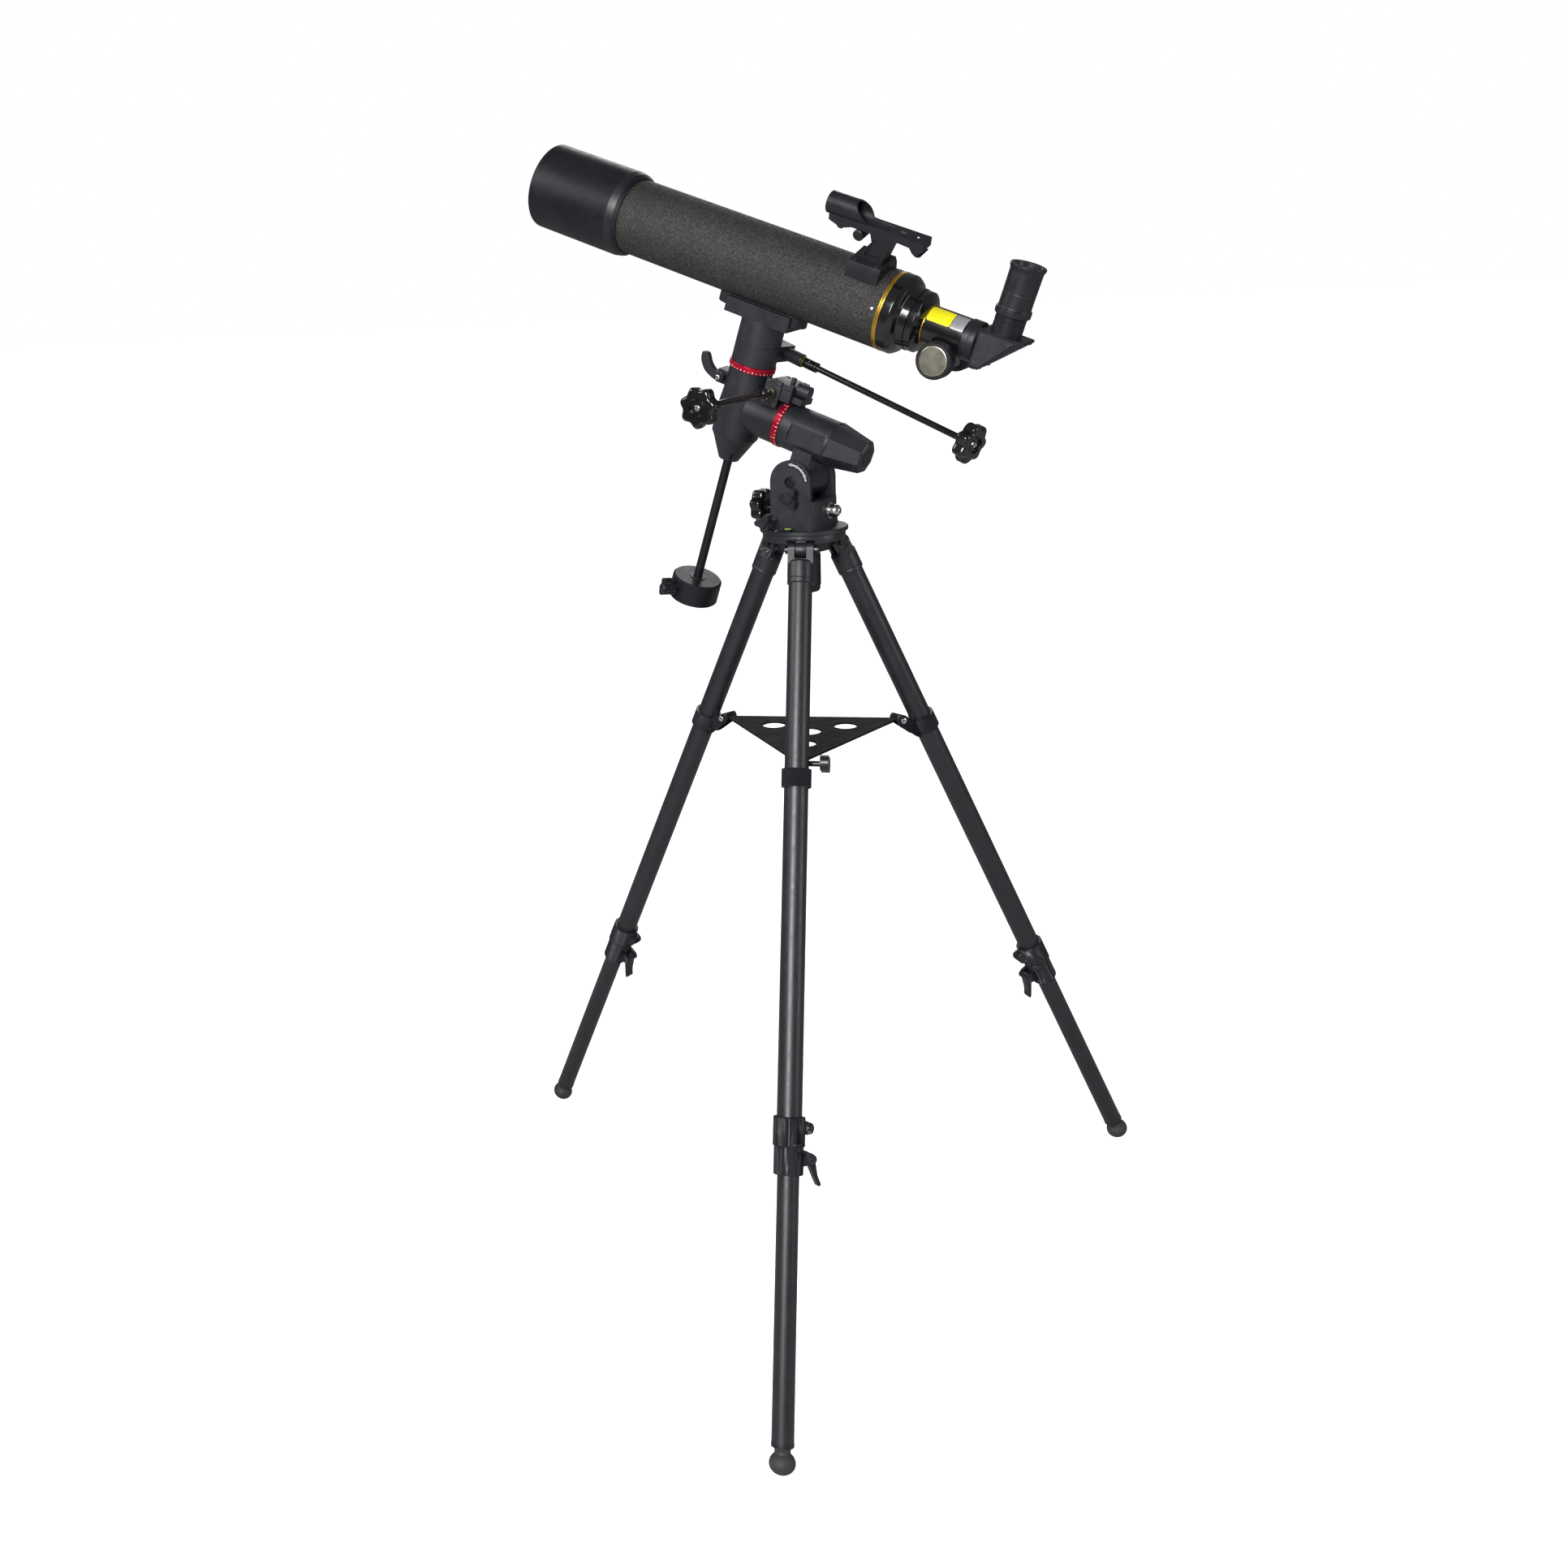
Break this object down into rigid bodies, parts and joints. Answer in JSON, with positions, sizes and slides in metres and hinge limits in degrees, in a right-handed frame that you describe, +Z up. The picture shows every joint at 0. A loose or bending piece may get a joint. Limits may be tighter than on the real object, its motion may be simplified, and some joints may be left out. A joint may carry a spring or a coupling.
{
  "type": "refractor telescope on equatorial mount and tripod",
  "caption": "Refractor telescope with dew shield, rack focuser, diagonal, eyepiece and red-dot finder on a small equatorial mount with counterweight and a folding tripod with tray.",
  "frame": {"origin": "centre of the bounding box at floor level; the tripod's axis stands at x = 0, y = 0.118", "axes": "+Z up; the front leg points to -Y; the tube points up towards -X and slightly +Y"},
  "size_m": [0.8488, 0.739, 1.4014],
  "materials": {
    "tripod_hub_finish": "satin black paint on a casting",
    "accessory_tray_finish": "matt black",
    "hinge_pin_front_finish": "bright plated steel",
    "hinge_pin_left_finish": "bright plated steel",
    "hinge_pin_right_finish": "bright plated steel",
    "leg_upper_front_finish": "satin black coating",
    "leg_upper_left_finish": "satin black coating",
    "leg_upper_right_finish": "satin black coating",
    "spreader_collar_front_finish": "matt black",
    "spreader_collar_left_finish": "matt black",
    "spreader_collar_right_finish": "matt black",
    "lock_collar_front_finish": "matt black",
    "lock_collar_left_finish": "matt black",
    "lock_collar_right_finish": "matt black",
    "leg_lower_front_finish": "satin black coating",
    "foot_front_finish": "moulded rubber",
    "leg_lower_left_finish": "satin black coating",
    "foot_left_finish": "moulded rubber",
    "leg_lower_right_finish": "satin black coating",
    "foot_right_finish": "moulded rubber",
    "lock_lever_front_finish": "matt black",
    "lock_lever_left_finish": "matt black",
    "lock_lever_right_finish": "matt black",
    "tray_wing_bolt_finish": "matt black",
    "azimuth_centre_bolt_finish": "matt black",
    "yoke_finish": "satin black paint on a casting",
    "latitude_pivot_bolt_finish": "satin black paint on a casting",
    "bubble_level_finish": "clear",
    "azimuth_lock_screw_finish": "matt black",
    "latitude_lock_screw_finish": "matt black",
    "latitude_hand_screw_finish": "gloss black",
    "latitude_rear_bolt_finish": "bright plated steel",
    "polar_housing_finish": "satin black paint on a casting",
    "polar_worm_block_finish": "satin black paint on a casting",
    "polar_setting_circle_finish": "red anodised with white graduations",
    "polar_slow_control_finish": "gloss black",
    "declination_housing_finish": "satin black paint on a casting",
    "declination_clamp_lever_finish": "satin black paint on a casting",
    "declination_setting_circle_finish": "red anodised with white graduations",
    "declination_worm_housing_finish": "satin black paint on a casting",
    "tube_saddle_finish": "satin black paint on a casting",
    "counterweight_shaft_finish": "satin black steel",
    "declination_slow_control_finish": "gloss black",
    "counterweight_finish": "satin black paint",
    "counterweight_lock_screw_finish": "matt black",
    "saddle_clamp_screw_finish": "matt black",
    "tube_foot_bar_finish": "matt black",
    "optical_tube_finish": "fine crinkle paint, charcoal",
    "dew_shield_finish": "satin black with a gloss lip",
    "objective_cell_finish": "matt black",
    "objective_lens_finish": "clear",
    "rear_cell_finish": "gloss black",
    "focuser_body_finish": "gloss black",
    "finder_shoe_finish": "matt black",
    "finder_body_finish": "matt black",
    "finder_knob_finish": "matt black",
    "drawtube_finish": "matt black",
    "focus_knobs_finish": "matt black",
    "diagonal_finish": "matt black",
    "eyepiece_finish": "matt black"
  },
  "bodies": {
    "tripod": {"tripod_hub": "tripod_hub_finish", "accessory_tray": "accessory_tray_finish", "hinge_pin_front": "hinge_pin_front_finish", "hinge_pin_left": "hinge_pin_left_finish", "hinge_pin_right": "hinge_pin_right_finish", "leg_upper_front": "leg_upper_front_finish", "leg_upper_left": "leg_upper_left_finish", "leg_upper_right": "leg_upper_right_finish", "spreader_collar_front": "spreader_collar_front_finish", "spreader_collar_left": "spreader_collar_left_finish", "spreader_collar_right": "spreader_collar_right_finish", "lock_collar_front": "lock_collar_front_finish", "lock_collar_left": "lock_collar_left_finish", "lock_collar_right": "lock_collar_right_finish"},
    "leg_extension_front": {"leg_lower_front": "leg_lower_front_finish", "foot_front": "foot_front_finish"},
    "leg_extension_left": {"leg_lower_left": "leg_lower_left_finish", "foot_left": "foot_left_finish"},
    "leg_extension_right": {"leg_lower_right": "leg_lower_right_finish", "foot_right": "foot_right_finish"},
    "lock_lever_body_front": {"lock_lever_front": "lock_lever_front_finish"},
    "lock_lever_body_left": {"lock_lever_left": "lock_lever_left_finish"},
    "lock_lever_body_right": {"lock_lever_right": "lock_lever_right_finish"},
    "tray_bolt": {"tray_wing_bolt": "tray_wing_bolt_finish"},
    "centre_bolt": {"azimuth_centre_bolt": "azimuth_centre_bolt_finish"},
    "azimuth": {"yoke": "yoke_finish", "latitude_pivot_bolt": "latitude_pivot_bolt_finish", "bubble_level": "bubble_level_finish"},
    "azimuth_lock": {"azimuth_lock_screw": "azimuth_lock_screw_finish"},
    "latitude_lock": {"latitude_lock_screw": "latitude_lock_screw_finish"},
    "latitude_hand": {"latitude_hand_screw": "latitude_hand_screw_finish"},
    "latitude_rear": {"latitude_rear_bolt": "latitude_rear_bolt_finish"},
    "latitude": {"polar_housing": "polar_housing_finish", "polar_worm_block": "polar_worm_block_finish"},
    "polar_wheel": {"polar_setting_circle": "polar_setting_circle_finish"},
    "polar_knob": {"polar_slow_control": "polar_slow_control_finish"},
    "polar_rotor": {"declination_housing": "declination_housing_finish"},
    "clamp_lever": {"declination_clamp_lever": "declination_clamp_lever_finish"},
    "declination_wheel": {"declination_setting_circle": "declination_setting_circle_finish"},
    "declination_head": {"declination_worm_housing": "declination_worm_housing_finish", "tube_saddle": "tube_saddle_finish", "counterweight_shaft": "counterweight_shaft_finish"},
    "declination_knob": {"declination_slow_control": "declination_slow_control_finish"},
    "weight": {"counterweight": "counterweight_finish"},
    "weight_lock": {"counterweight_lock_screw": "counterweight_lock_screw_finish"},
    "saddle_clamp": {"saddle_clamp_screw": "saddle_clamp_screw_finish"},
    "optical_tube_body": {"tube_foot_bar": "tube_foot_bar_finish", "optical_tube": "optical_tube_finish", "dew_shield": "dew_shield_finish", "objective_cell": "objective_cell_finish", "objective_lens": "objective_lens_finish", "rear_cell": "rear_cell_finish", "focuser_body": "focuser_body_finish", "finder_shoe": "finder_shoe_finish", "finder_body": "finder_body_finish"},
    "finder_wheel": {"finder_knob": "finder_knob_finish"},
    "drawtube_body": {"drawtube": "drawtube_finish"},
    "focus_wheels": {"focus_knobs": "focus_knobs_finish"},
    "diagonal_body": {"diagonal": "diagonal_finish"},
    "eyepiece_body": {"eyepiece": "eyepiece_finish"}
  },
  "joints": [
    {"name": "leg_slide_front", "type": "slide", "parent": "tripod", "child": "leg_extension_front", "axis": [0, 0.4321, 0.9018], "range_m": [-0.18, 0.24]},
    {"name": "leg_slide_left", "type": "slide", "parent": "tripod", "child": "leg_extension_left", "axis": [0.3742, -0.216, 0.9018], "range_m": [-0.18, 0.24]},
    {"name": "leg_slide_right", "type": "slide", "parent": "tripod", "child": "leg_extension_right", "axis": [-0.3742, -0.216, 0.9018], "range_m": [-0.18, 0.24]},
    {"name": "leg_lock_front", "type": "hinge", "parent": "tripod", "child": "lock_lever_body_front", "pos_m": [0.02225, -0.21521, 0.28478], "axis": [0.3746, -0.8362, 0.4006], "range_deg": [0, 85]},
    {"name": "leg_lock_left", "type": "hinge", "parent": "tripod", "child": "lock_lever_body_left", "pos_m": [-0.2772, 0.27845, 0.27829], "axis": [-0.5, -0.866, 0], "range_deg": [0, 85]},
    {"name": "leg_lock_right", "type": "hinge", "parent": "tripod", "child": "lock_lever_body_right", "pos_m": [0.2772, 0.27845, 0.27829], "axis": [-0.5, 0.866, 0], "range_deg": [0, 85]},
    {"name": "tray_bolt_turn", "type": "hinge", "parent": "tripod", "child": "tray_bolt", "pos_m": [0, -0.00959, 0.67147], "axis": [1, 0, 0], "continuous": true},
    {"name": "centre_bolt_turn", "type": "hinge", "parent": "tripod", "child": "centre_bolt", "pos_m": [0, 0.11841, 0.89947], "axis": [0, 0, 1], "continuous": true},
    {"name": "azimuth_turn", "type": "hinge", "parent": "tripod", "child": "azimuth", "pos_m": [0, 0.11841, 0.92947], "axis": [0, 0, 1], "continuous": true},
    {"name": "azimuth_lock_turn", "type": "hinge", "parent": "azimuth", "child": "azimuth_lock", "pos_m": [-0.03712, 0.07914, 0.94447], "axis": [-0.36, -0.933, 0], "continuous": true},
    {"name": "latitude_lock_turn", "type": "hinge", "parent": "azimuth", "child": "latitude_lock", "pos_m": [-0.0116, 0.08001, 0.97197], "axis": [-0.36, -0.933, 0], "continuous": true},
    {"name": "latitude_hand_turn", "type": "hinge", "parent": "azimuth", "child": "latitude_hand", "pos_m": [-0.04665, 0.13641, 0.95547], "axis": [-0.933, 0.36, 0], "continuous": true},
    {"name": "latitude_rear_turn", "type": "hinge", "parent": "azimuth", "child": "latitude_rear", "pos_m": [0.03732, 0.10401, 0.95247], "axis": [0.933, -0.36, 0], "continuous": true},
    {"name": "latitude_tilt", "type": "hinge", "parent": "azimuth", "child": "latitude", "pos_m": [0, 0.11841, 0.98947], "axis": [0.36, 0.933, 0], "range_deg": [-7, 40]},
    {"name": "polar_fine", "type": "hinge", "parent": "latitude", "child": "polar_wheel", "pos_m": [-0.07482, 0.14727, 1.07637], "axis": [-0.8742, 0.3373, 0.3494], "range_deg": [-5, 5]},
    {"name": "polar_knob_turn", "type": "hinge", "parent": "latitude", "child": "polar_knob", "pos_m": [-0.02446, 0.12784, 1.09519], "axis": [-0.3656, -0.9306, -0.0164], "range_deg": [-620, 620]},
    {"name": "polar_axis", "type": "hinge", "parent": "polar_wheel", "child": "polar_rotor", "pos_m": [-0.07482, 0.14727, 1.07637], "axis": [-0.8742, 0.3373, 0.3494], "range_deg": [-40, 90]},
    {"name": "clamp_lever_turn", "type": "hinge", "parent": "polar_rotor", "child": "clamp_lever", "pos_m": [-0.09796, 0.1421, 1.11362], "axis": [-0.3858, -0.9193, -0.0776], "range_deg": [-35, 30]},
    {"name": "declination_axis", "type": "hinge", "parent": "polar_rotor", "child": "declination_wheel", "pos_m": [-0.07482, 0.14727, 1.07637], "axis": [-0.295, 0.2026, -0.9338], "range_deg": [-180, 60]},
    {"name": "declination_fine", "type": "hinge", "parent": "declination_wheel", "child": "declination_head", "pos_m": [-0.07482, 0.14727, 1.07637], "axis": [-0.295, 0.2026, -0.9338], "range_deg": [-5, 5]},
    {"name": "declination_knob_turn", "type": "hinge", "parent": "declination_head", "child": "declination_knob", "pos_m": [-0.03381, 0.16213, 1.14374], "axis": [0.7749, -0.5211, -0.3579], "range_deg": [-620, 620]},
    {"name": "weight_slide", "type": "slide", "parent": "declination_head", "child": "weight", "axis": [0.295, -0.2026, 0.9338], "range_m": [0, 0.15]},
    {"name": "weight_lock_turn", "type": "hinge", "parent": "weight", "child": "weight_lock", "pos_m": [-0.17147, 0.17858, 0.84463], "axis": [-0.751, -0.6534, 0.0955], "continuous": true},
    {"name": "saddle_clamp_turn", "type": "hinge", "parent": "declination_head", "child": "saddle_clamp", "pos_m": [-0.00651, 0.13951, 1.18322], "axis": [0.3858, 0.9193, 0.0776], "continuous": true},
    {"name": "tube_slide", "type": "slide", "parent": "declination_head", "child": "optical_tube_body", "axis": [-0.8742, 0.3373, 0.3494], "range_m": [-0.03, 0.03]},
    {"name": "finder_knob_turn", "type": "hinge", "parent": "optical_tube_body", "child": "finder_wheel", "pos_m": [0.07763, 0.03245, 1.27097], "axis": [-0.4682, -0.7765, -0.4217], "continuous": true},
    {"name": "focus_slide", "type": "slide", "parent": "optical_tube_body", "child": "drawtube_body", "axis": [0.8742, -0.3373, -0.3494], "range_m": [0, 0.07]},
    {"name": "focus_knob_turn", "type": "hinge", "parent": "optical_tube_body", "child": "focus_wheels", "pos_m": [0.16783, 0.04074, 1.1323], "axis": [0.3858, 0.9193, 0.0776], "range_deg": [-5, 725]},
    {"name": "diagonal_turn", "type": "hinge", "parent": "drawtube_body", "child": "diagonal_body", "pos_m": [0.20309, 0.02481, 1.14576], "axis": [-0.8742, 0.3373, 0.3494], "range_deg": [-120, 120]},
    {"name": "eyepiece_slide", "type": "slide", "parent": "diagonal_body", "child": "eyepiece_body", "axis": [0.295, -0.2026, 0.9338], "range_m": [0, 0.02]}
  ],
  "couplings": [
    {"joint": "polar_knob_turn", "follows": "polar_fine", "ratio": 120},
    {"joint": "declination_knob_turn", "follows": "declination_fine", "ratio": 120},
    {"joint": "focus_knob_turn", "follows": "focus_slide", "rad_per_m": 178.57}
  ]
}
